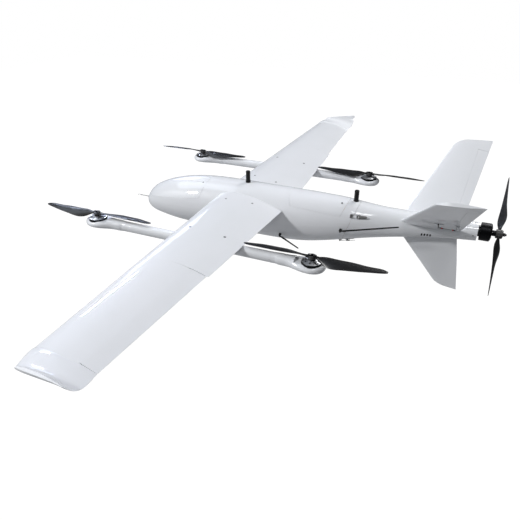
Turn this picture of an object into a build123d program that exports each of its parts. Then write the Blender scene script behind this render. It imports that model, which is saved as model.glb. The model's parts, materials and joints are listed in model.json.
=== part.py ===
from build123d import *
import os
from math import atan2, cos, degrees, radians, sin, sqrt

# Vertical take-off fixed-wing survey drone.
# Row frame in millimetres: +X towards the nose, +Y to port, +Z up.
# The origin is the centre of the payload plate's lower face on the belly.

# ---------------------------------------------------------------- driving dimensions
ROTOR_Z = 184.0            # plane of the four lift propellers
BOOM_Y = 440.0             # lift boom from the plane of symmetry
HUB_X = 463.0              # lift rotor hub ahead of or behind the origin
BOOM_Z = 149.5             # axis of the lift booms
BOOM_R = 20.0
BOOM_WALL = 2.5
LIFT_PROP_R = 260.0
PUSHER_X = -1049.0         # pusher propeller's hub
PUSHER_Z = 180.0
PUSHER_PROP_R = 251.0
PUSHER_REST_DEG = 52.0     # parked angle of the pusher blades, from upright
SKIN = 2.0                 # wall of the fuselage shells
GAP = 0.8                  # seam around hatches and between shells
RUN_FIT = 0.05             # radial clearance of a running fit
HINGE_PIN_R = 1.5

# Fuselage cross-sections are circles: position along X, centre height, radius.
STATIONS = [
    (523, 67.5, 12.0),
    (515, 71.0, 27.0),
    (498, 77.5, 45.0),
    (474, 84.5, 61.5),
    (430, 93.0, 78.5),
    (374, 100.0, 93.0),
    (300, 107.0, 105.6),
    (220, 112.8, 112.2),
    (44, 117.0, 115.8),
    (-132, 117.0, 114.8),
    (-308, 122.0, 108.8),
    (-400, 130.8, 98.7),
    (-462, 137.4, 89.8),
    (-528, 143.0, 78.3),
    (-594, 148.2, 67.2),
    (-748, 163.0, 50.3),
    (-860, 170.8, 41.2),
    (-937, 174.6, 36.9),
    (-975, 176.0, 35.0),
]
NOSE_WALL_X = 519.0        # the shell is solid ahead of this
CAP_X = -937.0             # where the tail cap starts
TAIL_END_X = -975.0

# The joint between the front shell and the tail boom leans aft towards the top.
SEAM_X = -499.0
SEAM_Z = 148.0
SEAM_LEAN_DEG = 19.0

# Wing planform: leading and trailing edge as straight lines in Y.
WING_ROOT_Y = 30.0
WING_TIP_Y = 1188.0
WING_CAMBER = 0.02
WING_DEPTH = (37.8, 20.5)  # greatest thickness at the plane of symmetry and at the tip
AILERON_Y = (682.0, 1184.0)
TRAIL_STEP = 7.0           # the trailing edge lies this much further aft inboard of the aileron
AILERON_HINGE = 0.75       # hinge line as a fraction of the chord
AILERON_LINK_Y = 766.0

# V-tail fin in its own plane: aft distance a and span s from the root's leading edge.
FIN_ROOT = (-686.0, 22.0, 174.5)
FIN_DIHEDRAL_DEG = 35.5
FIN_CHORD = 227.8
FIN_LE_SLOPE = 0.352
FIN_TE_SLOPE = 0.131
RUDDER_S = (36.0, 372.0)
RUDDER_HINGE_A = 199.0
RUDDER_HINGE_SLOPE = 0.098
RUDDER_LINK_S = 108.0

PLATE_SIZE = (120.0, 60.0, 9.0)
PLATE_HOLES = (80.0, 40.0)
PLATE_HOLE_R = 2.1

parts = {}


def mirrored(shape):
    """The same shape on the other side of the plane of symmetry."""
    return mirror(shape, about=Plane.XZ)


def rod(start, end, radius):
    """Solid cylinder between two points."""
    run = Vector(*end) - Vector(*start)
    return Solid.make_cylinder(radius, run.length, Plane(origin=start, z_dir=run))


def cone(start, end, r1, r2):
    """Solid frustum between two points."""
    run = Vector(*end) - Vector(*start)
    plane = Plane(origin=start, z_dir=run)
    return Solid.make_cone(r1, r2, run.length, plane)


def block(x, y, z):
    """Box between two limits on each axis."""
    centre = ((x[0] + x[1]) / 2, (y[0] + y[1]) / 2, (z[0] + z[1]) / 2)
    return Pos(*centre) * Box(x[1] - x[0], y[1] - y[0], z[1] - z[0])


def group(shapes):
    """Several separate solids of one node."""
    solids = []
    for shape in shapes:
        solids.extend(shape.solids())
    return Compound(children=solids)


# ---------------------------------------------------------------- fuselage
def fuselage_section(x):
    """Centre height and radius at a station, straight between the listed ones."""
    for (x1, z1, r1), (x2, z2, r2) in zip(STATIONS, STATIONS[1:]):
        if x2 <= x <= x1:
            share = (x1 - x) / (x1 - x2)
            return z1 + share * (z2 - z1), r1 + share * (r2 - r1)
    raise ValueError("station outside the fuselage")


def fuselage_body(inset, first=0, last=None):
    """Solid through the circular stations, each radius reduced by inset."""
    rings = []
    for x, z, r in STATIONS[first:last]:
        ring = Plane(origin=(x, 0, z), x_dir=(0, 1, 0), z_dir=(1, 0, 0))
        rings.append(ring * Circle(r - inset))
    return loft(rings)


def skin_point(x, angle_deg, lift=0.0):
    """Point on the skin at an angle from the top, towards port."""
    z, r = fuselage_section(x)
    angle = radians(angle_deg)
    return Vector(x, (r + lift) * sin(angle), z + (r + lift) * cos(angle))


def skin_plane(x, angle_deg, half_length=20.0):
    """Plane on the skin with its X axis pointing aft and Z outwards."""
    aft = skin_point(x - half_length, angle_deg) - skin_point(x + half_length, angle_deg)
    angle = radians(angle_deg)
    across = Vector(0, cos(angle), -sin(angle))
    normal = aft.cross(across)
    if normal.dot(Vector(0, sin(angle), cos(angle))) < 0:
        normal = normal * -1
    return Plane(origin=skin_point(x, angle_deg), x_dir=aft, z_dir=normal)


def side_prism(points, half_width=160.0):
    """Prism across the fuselage with a side-view outline in X and Z."""
    outline = Plane.XZ * make_face(Polyline(*points, close=True))
    return extrude(outline, amount=half_width, both=True)


NOSE_HATCH = [(181, 163), (158, 250), (540, 250), (540, 101.4)]
REAR_HATCH = [(-212, 250), (-245, 193), (-461, 179), (-488, 250)]
HATCH_SHRINK = {
    "nose": [(181 + GAP, 163 + GAP), (158 + GAP, 250), (540, 250), (540, 101.4 + GAP)],
    "rear": [(-212 - GAP, 250), (-245 - GAP, 193 + GAP), (-461 + GAP, 179 + GAP), (-488 + GAP, 250)],
}
HATCH_LOCKS = {"nose": (184.0, 24.0), "rear": (-455.0, 24.0)}


def seam_half(offset, front):
    """Half space ahead of or behind the leaning seam plane."""
    lean = radians(SEAM_LEAN_DEG)
    ahead = Vector(cos(lean), 0, sin(lean))
    origin = Vector(SEAM_X, 0, SEAM_Z) + ahead * offset
    reach = 1200.0
    slab = Box(reach, 2 * reach, 2 * reach)
    plane = Plane(origin=origin, x_dir=ahead, z_dir=(-sin(lean), 0, cos(lean)))
    side = reach / 2 if front else -reach / 2
    return plane * (Pos(side, 0, 0) * slab)


def build_fuselage():
    outer = fuselage_body(0.0)
    inner = fuselage_body(SKIN)
    front_trim = block((-900, NOSE_WALL_X), (-200, 200), (-200, 400))
    shell = outer - (inner & front_trim)
    forward = shell & seam_half(GAP / 2, True)
    tail = shell & seam_half(-GAP / 2, False)
    tail_boom = tail & block((CAP_X + 0.2, -400), (-200, 200), (-200, 400))
    cap = tail & block((TAIL_END_X, CAP_X - 0.2), (-60, 60), (100, 260))
    for name, outline in (("nose", NOSE_HATCH), ("rear", REAR_HATCH)):
        hatch = forward & side_prism(HATCH_SHRINK[name])
        forward = forward - side_prism(outline)
        x, angle = HATCH_LOCKS[name]
        seat = skin_plane(x, angle)
        parts[name + "_hatch"] = hatch - seat * Pos(0, 0, -5) * Cylinder(4.0 + RUN_FIT, 20)
        head = seat * Pos(0, 0, -1.5) * Cylinder(4.0, 6.0)
        slot = seat * Pos(0, 0, 1.5) * Box(7.0, 1.2, 1.6)
        parts[name + "_hatch_lock"] = head - slot
    parts["fuselage_shell"] = forward
    parts["tail_boom_shell"] = tail_boom
    parts["tail_cap"] = cap
    return outer, inner


def build_interior(inner):
    """Ring frames, tray, battery packs and avionics inside the front shell."""
    tray_space = block((-190, 400), (-70, 70), (58, 61))
    frames = []
    for x, opening in ((150, 0.72), (-66, 0.55), (-205, 0.7), (-470, 0.75)):
        z, r = fuselage_section(x)
        ring = Pos(x, 0, z) * Rot(0, 90, 0) * Cylinder(opening * (r - SKIN), 12)
        slab = inner & block((x - 2.5, x + 2.5), (-130, 130), (-20, 260))
        frames.append(slab - ring - tray_space)
    parts["ring_frames"] = group(frames)
    parts["equipment_tray"] = inner & tray_space
    packs = []
    for side in (-1, 1):
        pack = Pos(285, side * 34, 61 + 31) * Box(170, 64, 62)
        packs.append(fillet(pack.edges().filter_by(Axis.X), 6))
    parts["battery_packs"] = group(packs)
    board = Pos(60, 0, 61 + 11) * Box(84, 52, 22)
    parts["flight_controller"] = fillet(board.edges().filter_by(Axis.Z), 5)


def build_payload_plate(outer_shell):
    """Flush mounting plate with four threaded holes, let into the belly."""
    length, width, thick = PLATE_SIZE
    plate = block((-length / 2, length / 2), (-width / 2, width / 2), (0, thick))
    plate = fillet(plate.edges().filter_by(Axis.Z), 8)
    holes = []
    for sx in (-1, 1):
        for sy in (-1, 1):
            x = sx * PLATE_HOLES[0] / 2
            y = sy * PLATE_HOLES[1] / 2
            holes.append(Pos(x, y, thick / 2) * Cylinder(PLATE_HOLE_R, 2 * thick))
    parts["payload_plate"] = plate - holes
    parts["fuselage_shell"] = outer_shell - plate


# ---------------------------------------------------------------- aerofoil solids
def half_thickness(x, thickness):
    """Half thickness of a symmetric aerofoil of unit chord."""
    series = 0.2969 * sqrt(x) - 0.126 * x - 0.3516 * x**2 + 0.2843 * x**3 - 0.1036 * x**4
    return 5 * thickness * series


def aerofoil(lead, trail, up, thickness, camber=0.0, edge=0.6):
    """Aerofoil face between its leading and trailing points; up is its upper side."""
    run = Vector(*trail) - Vector(*lead)
    chord = run.length
    side = run.cross(Vector(*up))
    plane = Plane(origin=lead, x_dir=run, z_dir=side)
    spots = [0.0, 0.012, 0.05, 0.12, 0.25, 0.42, 0.62, 0.82, 1.0]
    upper = []
    lower = []
    for spot in spots:
        mid = 4 * camber * spot * (1 - spot) * chord
        half = half_thickness(spot, thickness) * chord + edge / 2 * spot
        upper.append((spot * chord, mid + half))
        lower.append((spot * chord, mid - half))
    top = Spline(*upper, tangents=[(0, 1), (1, -0.15)], tangent_scalars=[0.6, 1])
    bottom = Spline(*lower, tangents=[(0, -1), (1, 0.1)], tangent_scalars=[0.6, 1])
    close = Line(upper[-1], lower[-1])
    return plane * make_face([top, close, bottom])


def wing_lead(y):
    return Vector(87.0 - 0.0432 * y, y, 187.5 + 0.01 * y)


def wing_trail(y, inboard=None):
    """Trailing edge, which steps aft inboard of the aileron."""
    if inboard is None:
        inboard = y < AILERON_Y[0]
    step = TRAIL_STEP if inboard else 0.0
    return Vector(-215.6 - step + 0.047 * y, y, 168.5 + 0.01 * y)


def wing_thickness(y, inboard=None):
    """Thickness to chord ratio."""
    depth = WING_DEPTH[0] + (WING_DEPTH[1] - WING_DEPTH[0]) * y / WING_TIP_Y
    return depth / (wing_trail(y, inboard) - wing_lead(y)).length


def wing_section(y, inboard):
    thickness = wing_thickness(y, inboard)
    return aerofoil(wing_lead(y), wing_trail(y, inboard), (0, 0, 1), thickness, WING_CAMBER)


def wing_mid(y, share):
    """Point on the mean line at a share of the chord."""
    lead = wing_lead(y)
    trail = wing_trail(y)
    chord = (trail - lead).length
    lift = 4 * WING_CAMBER * share * (1 - share) * chord
    return lead + (trail - lead) * share + Vector(0, 0, lift)


# The tip turns up: leading point, trailing point, upper side, thickness ratio.
TIP_SECTIONS = [
    ((28, 1234, 204), (-168, 1237, 188), (0, -0.36, 0.93), 0.095),
    ((16, 1264, 208), (-170, 1268, 204), (0, -0.68, 0.73), 0.08),
    ((4, 1274, 220), (-172, 1296, 242), (0, -0.88, 0.47), 0.045),
]


def boom_saddle():
    """Pad that fills the space between the wing's lower side and the boom."""
    pad = block((-148, 36), (BOOM_Y - 12, BOOM_Y + 12), (BOOM_Z, 181))
    return fillet(pad.edges().filter_by(Axis.Z), 11)


def wing_solid():
    """Port wing with its upturned tip, before cut-outs."""
    joint_y = AILERON_Y[0]
    inner = loft([wing_section(WING_ROOT_Y, True), wing_section(joint_y, True)], ruled=True)
    outer = loft([wing_section(joint_y, False), wing_section(WING_TIP_Y, False)], ruled=True)
    tip = [wing_section(WING_TIP_Y, False)]
    for lead, trail, up, thickness in TIP_SECTIONS:
        tip.append(aerofoil(lead, trail, up, thickness, WING_CAMBER))
    return inner + outer + loft(tip) + boom_saddle()


def hinge_frame(start, end, along):
    """Frame on a hinge line: X aft, Y along the hinge, Z to the lower side."""
    run = (Vector(*end) - Vector(*start)).normalized()
    origin = Vector(*start) + run * along
    aft = Vector(-1, 0, 0)
    aft = (aft - run * aft.dot(run)).normalized()
    return Plane(origin=origin, x_dir=aft, z_dir=aft.cross(run))


def hinged_surface(solid, start, end, r1, r2, aft_reach):
    """Splits a surface at a hinge line: the fixed part, the moving part and its pins."""
    frame = hinge_frame(start, end, 0.0)
    span = (Vector(*end) - Vector(*start)).length
    depth = 60.0
    end_gap = 1.4
    nose_gap = 1.0
    shroud = 0.5 * max(r1, r2)
    behind = frame * block((0, aft_reach), (0, span), (-depth, depth))
    nose = cone(start, end, r1, r2)
    cut_box = frame * block((-shroud, aft_reach + 20), (-end_gap, span + end_gap), (-depth, depth))
    run = (Vector(*end) - Vector(*start)).normalized()
    low = Vector(*start) - run * end_gap
    high = Vector(*end) + run * end_gap
    groove = cone(low, high, r1 + nose_gap, r2 + nose_gap)
    moving = (solid & behind) + nose
    fixed = solid - cut_box - groove
    pins = []
    for point, way in ((start, 1), (end, -1)):
        inside = Vector(*point) + run * (10 * way)
        outside = Vector(*point) - run * (9 * way)
        pins.append(rod(outside, inside, HINGE_PIN_R))
        moving = moving - rod(outside, inside + run * (0.5 * way), HINGE_PIN_R + RUN_FIT)
        fixed = fixed - rod(outside, inside, HINGE_PIN_R)
    return fixed, moving, pins


# ---------------------------------------------------------------- servo linkage
ARM_AFT = 4.0              # arm pin from the servo shaft, aft
ARM_OUT = 21.0             # and outwards
SERVO_BACK = 62.0          # servo shaft ahead of the hinge line
SERVO_BODY = (23.0, 24.0, 9.0)
LINK_PIN_R = 0.9


def lever(x, z, y0, y1, root_r):
    """Flat lever in a hinge frame, from its shaft to its pin boss."""
    root = rod((x, y0, z), (x, y1, z), root_r)
    tip_x = x + ARM_AFT
    tip_z = z + ARM_OUT
    head = rod((tip_x, y0, tip_z), (tip_x, y1, tip_z), 2.6)
    lean = degrees(atan2(ARM_AFT, ARM_OUT))
    middle = Pos(x + ARM_AFT / 2, (y0 + y1) / 2, z + ARM_OUT / 2)
    web = middle * Rot(0, lean, 0) * Box(3.6, y1 - y0, sqrt(ARM_AFT**2 + ARM_OUT**2))
    return root + head + web


def linkage(frame, sink):
    """Servo, arm, pushrod, horn, bay and cover region in a hinge frame.

    The servo shaft is parallel to the hinge and sunk below it, and arm and horn are
    equal, so arm, pushrod and horn make a parallelogram.
    """
    shaft_x = -SERVO_BACK
    length, depth, width = SERVO_BODY
    z_low = -sink - width / 2
    z_high = -sink + width / 2
    nose_x = shaft_x - 8
    body = block((nose_x, nose_x + length), (-4 - depth, -4), (z_low, z_high))
    lugs = block((nose_x - 4.5, nose_x + length + 4.5), (-13, -11), (z_low, z_high))
    servo = body + lugs + rod((shaft_x, -4, -sink), (shaft_x, 1.5, -sink), 2.4)
    bay = block((nose_x - 5.5, nose_x + length + 5.5), (-5 - depth, 9), (z_low - 0.2, 40))
    notch = block((-9, 1), (5.5, 10.3), (2, 40))
    arm_pin = (shaft_x + ARM_AFT, ARM_OUT - sink)
    horn_pin = (ARM_AFT, ARM_OUT)
    arm = lever(shaft_x, -sink, 1.8, 3.6, 4.0)
    arm = arm + rod((arm_pin[0], 3.0, arm_pin[1]), (arm_pin[0], 6.6, arm_pin[1]), LINK_PIN_R)
    push = rod((arm_pin[0], 5.1, arm_pin[1]), (horn_pin[0], 5.1, horn_pin[1]), 0.95)
    for (x, z), play in ((arm_pin, RUN_FIT), (horn_pin, 0.4)):
        push = push + rod((x, 4.1, z), (x, 6.1, z), 2.7)
        push = push - rod((x, 3.0, z), (x, 7.5, z), LINK_PIN_R + play)
    horn = lever(0.0, 0.0, 7.0, 8.8, 3.0)
    horn = horn + rod((ARM_AFT, 3.7, ARM_OUT), (ARM_AFT, 7.4, ARM_OUT), LINK_PIN_R)
    horn = horn + block((0, 13), (7.0, 8.8), (2, 10))
    cover = block((nose_x - 9, nose_x + length + 9), (-9 - depth, -3.5), (z_high + 0.3, 40))
    return {
        "servo": frame * servo,
        "arm": frame * arm,
        "pushrod": frame * push,
        "horn": frame * horn,
        "bay": frame * (bay + notch),
        "cover": frame * cover,
    }


def fit_linkage(fixed, moving, frame, sink):
    """Cuts the bay and cover seat, adds the horn, and returns every piece."""
    link = linkage(frame, sink)
    cover = fixed & link["cover"]
    fixed = fixed - link["bay"] - link["cover"]
    return fixed, moving + link["horn"], cover, link


def name_linkage(surface, link):
    """Arm and pushrod nodes for a port surface and its mirrored partner."""
    for side, place in (("left", lambda shape: shape), ("right", mirrored)):
        parts[f"{surface}_servo_arm_{side}"] = place(link["arm"])
        parts[f"{surface}_pushrod_{side}"] = place(link["pushrod"])


# ---------------------------------------------------------------- wing
WING_TUBES = ((18.0, 10.0, 330.0), (-112.0, 5.0, 300.0))    # X, radius, reach in Y
ROOT_SCREWS = ((17.6, 150.0), (-97.0, 132.0))
BOOM_BOLTS = (20.0, -126.0)
ROOT_SCREW_DEPTH = 5.0     # stops short of the joiner tubes


def wing_tube_z(x):
    """Height of the wing's middle at the middle of a joiner tube."""
    y = 200.0
    lead = wing_lead(y)
    share = (lead.X - x) / (lead.X - wing_trail(y).X)
    return wing_mid(y, share).Z


def upper_height(x, y):
    """Height of the wing's upper surface."""
    lead = wing_lead(y)
    chord = lead.X - wing_trail(y).X
    share = (lead.X - x) / chord
    return wing_mid(y, share).Z + half_thickness(share, wing_thickness(y)) * chord


def countersunk(x, y, depth, shank_r, head_r):
    """Countersunk screw whose head lies on the wing's upper surface."""
    top = upper_height(x, y) - 0.3
    shank = Pos(x, y, top - depth / 2) * Cylinder(shank_r, depth)
    head = Pos(x, y, top - 1.5) * Cone(shank_r, head_r, 3.0)
    socket = Pos(x, y, top - 0.5) * RegularPolygon(head_r * 0.45, 6)
    return shank + head - extrude(socket, amount=2.0, both=True)


def build_wing(outer):
    solid = wing_solid() - outer
    start = wing_mid(AILERON_Y[0], AILERON_HINGE)
    end = wing_mid(AILERON_Y[1], AILERON_HINGE)
    radii = []
    for y in AILERON_Y:
        chord = wing_lead(y).X - wing_trail(y).X
        radii.append(half_thickness(AILERON_HINGE, wing_thickness(y)) * chord * 0.98)
    fixed, moving, pins = hinged_surface(solid, start, end, *radii, 90.0)
    frame = hinge_frame(start, end, AILERON_LINK_Y - AILERON_Y[0])
    fixed, moving, cover, link = fit_linkage(fixed, moving, frame, 2.0)
    tubes = []
    for x, radius, reach in WING_TUBES:
        z = wing_tube_z(x)
        tubes.append(rod((x, -reach, z), (x, reach, z), radius))
    fixed = fixed - tubes - rod((-700, BOOM_Y, BOOM_Z), (700, BOOM_Y, BOOM_Z), BOOM_R)
    screws = []
    for x, y in ROOT_SCREWS:
        screws.append(countersunk(x, y, ROOT_SCREW_DEPTH, 1.5, 3.6))
    bolts = []
    for x in BOOM_BOLTS:
        depth = upper_height(x, BOOM_Y) - BOOM_Z - BOOM_R + 8
        bolts.append(countersunk(x, BOOM_Y, depth, 2.0, 4.2))
    fixed = fixed - screws - bolts
    parts["wing_panel_left"] = fixed
    parts["wing_panel_right"] = mirrored(fixed)
    parts["aileron_left"] = moving
    parts["aileron_right"] = mirrored(moving)
    name_linkage("aileron", link)
    return tubes, screws, bolts, pins, [link["servo"]], [cover]


# ---------------------------------------------------------------- tail surfaces
def fin_plane():
    """Port fin plane: X aft, Y along the span, Z to the outer and lower side."""
    tilt = radians(FIN_DIHEDRAL_DEG)
    return Plane(origin=FIN_ROOT, x_dir=(-1, 0, 0), z_dir=(0, sin(tilt), -cos(tilt)))


def fin_point(a, s):
    return fin_plane().from_local_coords(Vector(a, s, 0))


def rounded_outline(points, corner, radius):
    """Face with one rounded corner."""
    face = make_face(Polyline(*points, close=True))
    target = Vector(*points[corner])
    nearest = face.vertices().sort_by(lambda v: (Vector(v.X, v.Y) - target).length)[0]
    return fillet(nearest, radius)


def build_vtail(outer):
    normal = fin_plane().z_dir
    sections = []
    for s, thickness in ((-24.0, 0.09), (430.0, 0.085)):
        lead = fin_point(FIN_LE_SLOPE * s, s)
        trail = fin_point(FIN_CHORD + FIN_TE_SLOPE * s, s)
        sections.append(aerofoil(lead, trail, normal, thickness))
    outline = rounded_outline([(-35, -30), (142, 412), (287, 426), (230, -30)], 1, 80.0)
    solid = loft(sections, ruled=True) & (fin_plane() * extrude(outline, amount=40, both=True))
    solid = solid - outer
    ends = []
    radii = []
    for s in RUDDER_S:
        a = RUDDER_HINGE_A + RUDDER_HINGE_SLOPE * s
        chord = FIN_CHORD + (FIN_TE_SLOPE - FIN_LE_SLOPE) * s
        share = (a - FIN_LE_SLOPE * s) / chord
        ends.append(fin_point(a, s))
        radii.append(half_thickness(share, 0.088) * chord * 0.98)
    fixed, moving, pins = hinged_surface(solid, *ends, *radii, 80.0)
    frame = hinge_frame(*ends, RUDDER_LINK_S - RUDDER_S[0])
    fixed, moving, cover, link = fit_linkage(fixed, moving, frame, 0.0)
    spars = []
    for a, reach, radius in ((70.0, 150.0, 4.0), (150.0, 70.0, 3.0)):
        spars.append(rod(fin_point(a, -4), fin_point(a, reach), radius))
    fixed = fixed - spars
    parts["vtail_fin_left"] = fixed
    parts["vtail_fin_right"] = mirrored(fixed)
    parts["ruddervator_left"] = moving
    parts["ruddervator_right"] = mirrored(moving)
    name_linkage("ruddervator", link)
    return spars, pins, [link["servo"]], [cover]


VENTRAL_LEAD = ((-672.0, 145.0), (-883.5, -105.0))
VENTRAL_TRAIL = ((-910.0, 145.0), (-948.5, -105.0))


def build_ventral_fin(outer):
    sections = []
    for (lx, z), (tx, _), thickness in zip(VENTRAL_LEAD, VENTRAL_TRAIL, (0.07, 0.1)):
        sections.append(aerofoil((lx, 0, z), (tx, 0, z), (0, 1, 0), thickness))
    corners = [(-664, 150), (-859, -81), (-951, -96), (-906, 150)]
    outline = rounded_outline(corners, 1, 110.0)
    prism = extrude(Plane.XZ * outline, amount=30, both=True)
    parts["ventral_fin"] = (loft(sections, ruled=True) & prism) - outer


# ---------------------------------------------------------------- lift booms and rotors
POD_SECTIONS = [           # distance outboard of the hub, half width, half height, centre Z
    (50, 9.0, 5.5, 149.5),
    (46, 21.0, 11.0, 148.8),
    (36, 32.5, 16.5, 147.8),
    (16, 43.0, 19.5, 147.3),
    (-8, 45.5, 20.0, 147.3),
    (-34, 41.0, 20.5, 147.8),
    (-62, 31.0, 21.0, 148.8),
    (-92, 24.0, 21.2, 149.3),
    (-125, 21.2, 21.2, 149.5),
    (-150, 20.6, 20.6, BOOM_Z),
]
POD_RIM_Z = 161.5
BELL_R = 36.5
BELL_Z = (157.0, 168.5)
STATOR_R = 30.0
SHAFT_R = 4.0              # every motor shaft


def build_lift_units():
    """Pods, stators, bells, propellers and the two boom tubes."""
    pods = []
    stators = []
    booms = []
    rings = []
    for x, half_width, half_height, z in POD_SECTIONS:
        plane = Plane(origin=(x, 0, z), x_dir=(0, 1, 0), z_dir=(1, 0, 0))
        rings.append(plane * Ellipse(half_width, half_height))
    pod = loft(rings)
    pod = pod - block((-60, 60), (-60, 60), (POD_RIM_Z, 200))
    pod = pod - Pos(0, 0, 175) * Cylinder(BELL_R + 1.5, 2 * (175 - 150))
    pod = pod - rod((-200, 0, BOOM_Z), (-85, 0, BOOM_Z), BOOM_R)
    base = Pos(0, 0, 152) * Cylinder(33, 4)
    core = Pos(0, 0, 160) * Cylinder(STATOR_R, 13)
    bearing = Pos(0, 0, 159) * Cylinder(SHAFT_R + RUN_FIT, 24)
    stator = base + core - bearing
    can = Pos(0, 0, (BELL_Z[0] + BELL_Z[1]) / 2) * Cylinder(BELL_R, BELL_Z[1] - BELL_Z[0])
    can = can - Pos(0, 0, 160) * Cylinder(STATOR_R + 1.5, 14.2)
    top = Pos(0, 0, BELL_Z[1] + 2.5) * Cone(BELL_R - 1.5, 13.0, 5.0)
    hub_base = Pos(0, 0, 175.5) * Cylinder(12.5, 5.0)
    shaft = Pos(0, 0, 173.5) * Cylinder(SHAFT_R, 41.0)
    windows = []
    for turn in range(0, 360, 45):
        windows.append(Rot(0, 0, turn) * Pos(22, 0, 170) * Box(9, 5, 8))
    bell = can + top - windows + hub_base + shaft
    for fore, end_name in ((1, "front"), (-1, "rear")):
        for side, side_name in ((1, "left"), (-1, "right")):
            place = Pos(fore * HUB_X, side * BOOM_Y, 0) * Rot(0, 0, 0 if fore > 0 else 180)
            pods.append(place * pod)
            stators.append(place * stator)
            corner = f"{end_name}_{side_name}"
            parts[f"lift_motor_bell_{corner}"] = place * bell
            spin = -fore * side
            propeller = lift_propeller(spin)
            parts[f"lift_propeller_{corner}"] = place * Pos(0, 0, ROTOR_Z) * propeller
    for side in (-1, 1):
        reach = HUB_X - 85
        tube = rod((-reach, side * BOOM_Y, BOOM_Z), (reach, side * BOOM_Y, BOOM_Z), BOOM_R)
        bore_r = BOOM_R - BOOM_WALL
        booms.append(tube - rod((-500, side * BOOM_Y, BOOM_Z), (500, side * BOOM_Y, BOOM_Z), bore_r))
    return pods, stators, booms


# Blade sections: share of the radius, chord, thickness, twist, sweep towards the trailing edge.
LIFT_BLADE = [
    (0.045, 13.0, 7.0, 12.0, 0.0),
    (0.11, 21.0, 7.4, 27.0, 3.5),
    (0.19, 39.0, 6.4, 27.0, 9.0),
    (0.28, 48.5, 5.4, 20.5, 13.0),
    (0.45, 48.0, 4.3, 13.1, 12.0),
    (0.65, 40.0, 3.4, 9.2, 9.3),
    (0.85, 29.0, 2.6, 7.0, 4.5),
    (0.95, 21.0, 1.9, 6.3, 2.6),
    (1.0, 9.0, 1.3, 6.0, 3.0),
]
PUSHER_BLADE = [
    (0.045, 14.0, 9.0, 30.0, 0.0),
    (0.11, 20.0, 8.0, 40.0, 0.0),
    (0.18, 36.0, 6.4, 40.0, -2.0),
    (0.26, 44.0, 5.4, 37.0, -3.0),
    (0.45, 39.0, 4.3, 24.7, -1.0),
    (0.65, 32.0, 3.4, 17.6, 0.0),
    (0.84, 23.0, 2.6, 13.8, 0.5),
    (0.95, 15.5, 1.9, 12.3, 1.0),
    (1.0, 7.0, 1.3, 11.7, 1.5),
]


def blade_section(radius, share, chord, thick, twist, sweep, spin):
    """Cambered blade section; spin is +1 for anticlockwise seen from above."""
    arch = 0.06 * chord
    upper = ThreePointArc((-chord / 2, 0), (-chord * 0.08, arch + thick / 2), (chord / 2, 0))
    lower = ThreePointArc((-chord / 2, 0), (0, arch - thick / 2), (chord / 2, 0))
    outline = Rot(0, 0, -twist) * Pos(sweep, 0) * make_face([upper, lower])
    if spin > 0:
        outline = mirror(outline, about=Plane.YZ)
    plane = Plane(origin=(radius * share, 0, 0), x_dir=(0, 1, 0), z_dir=(1, 0, 0))
    return plane * outline


def two_blades(table, radius, spin, hub_r, hub_height):
    """Two-blade propeller around Z with its hub on the origin."""
    sections = []
    for share, chord, thick, twist, sweep in table:
        sections.append(blade_section(radius, share, chord, thick, twist, sweep, spin))
    blade = loft(sections)
    hub = Cylinder(hub_r, hub_height)
    neck = Box(44, 13, 8)
    neck = fillet(neck.edges().filter_by(Axis.X), 3)
    return blade + Rot(0, 0, 180) * blade + hub + neck - Cylinder(SHAFT_R, 2 * hub_height)


def lift_propeller(spin):
    propeller = two_blades(LIFT_BLADE, LIFT_PROP_R, spin, 13.0, 12.0)
    for x in (-8.0, 8.0):
        propeller = propeller + Pos(x, 0, 7.2) * Cylinder(2.6, 2.8)
    return propeller


# ---------------------------------------------------------------- pusher motor
PUSHER_BELL = (-1022.0, -983.0)
PUSHER_BELL_R = 34.5
PUSHER_CORE_R = 28.0
PUSHER_BORE_R = 30.5       # inside of the bell
PUSHER_HUB_LENGTH = 22.0


def aft_cylinder(x0, x1, radius):
    """Cylinder on the pusher axis."""
    return rod((x0, 0, PUSHER_Z), (x1, 0, PUSHER_Z), radius)


def build_pusher():
    aft, front = PUSHER_BELL
    mount = aft_cylinder(TAIL_END_X, TAIL_END_X - 7, 21.0)
    stem = aft_cylinder(TAIL_END_X - 7, aft + 7, 9.0)
    core = aft_cylinder(front - 3, aft + 7, PUSHER_CORE_R)
    stator = mount + stem + core - aft_cylinder(TAIL_END_X + 15, aft, SHAFT_R + RUN_FIT)
    can = aft_cylinder(front, aft, PUSHER_BELL_R)
    can = fillet(can.edges().group_by(Axis.X)[0], 6.0)
    can = fillet(can.edges().group_by(Axis.X)[-1], 1.5)
    can = can - aft_cylinder(front + 1, aft + 4.5, PUSHER_BORE_R)
    for turn in range(0, 360, 45):
        slot = Pos(aft + 2, 0, 0) * Box(8, 7, 11)
        can = can - Pos(0, 0, PUSHER_Z) * Rot(turn, 0, 0) * Pos(0, 0, 20) * slot
    hub_front = PUSHER_X + PUSHER_HUB_LENGTH / 2
    hub_aft = PUSHER_X - PUSHER_HUB_LENGTH / 2
    collar = aft_cylinder(aft, hub_front, 11.0)
    shaft = aft_cylinder(TAIL_END_X - 5, -1075, SHAFT_R)
    parts["pusher_motor_bell"] = can + collar + shaft
    propeller = two_blades(PUSHER_BLADE, PUSHER_PROP_R, 1, 17.0, PUSHER_HUB_LENGTH)
    place = Pos(PUSHER_X, 0, PUSHER_Z) * Rot(PUSHER_REST_DEG, 0, 0) * Rot(0, -90, 0)
    parts["pusher_propeller"] = place * propeller
    washer = aft_cylinder(hub_aft, hub_aft - 2.5, 10.0)
    seat = Plane(origin=(hub_aft - 2.5, 0, PUSHER_Z), z_dir=(-1, 0, 0))
    nut = washer + extrude(seat * RegularPolygon(7.0, 6), amount=8)
    parts["pusher_prop_nut"] = nut - aft_cylinder(hub_aft + 5, -1080, SHAFT_R)
    return stator


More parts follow.
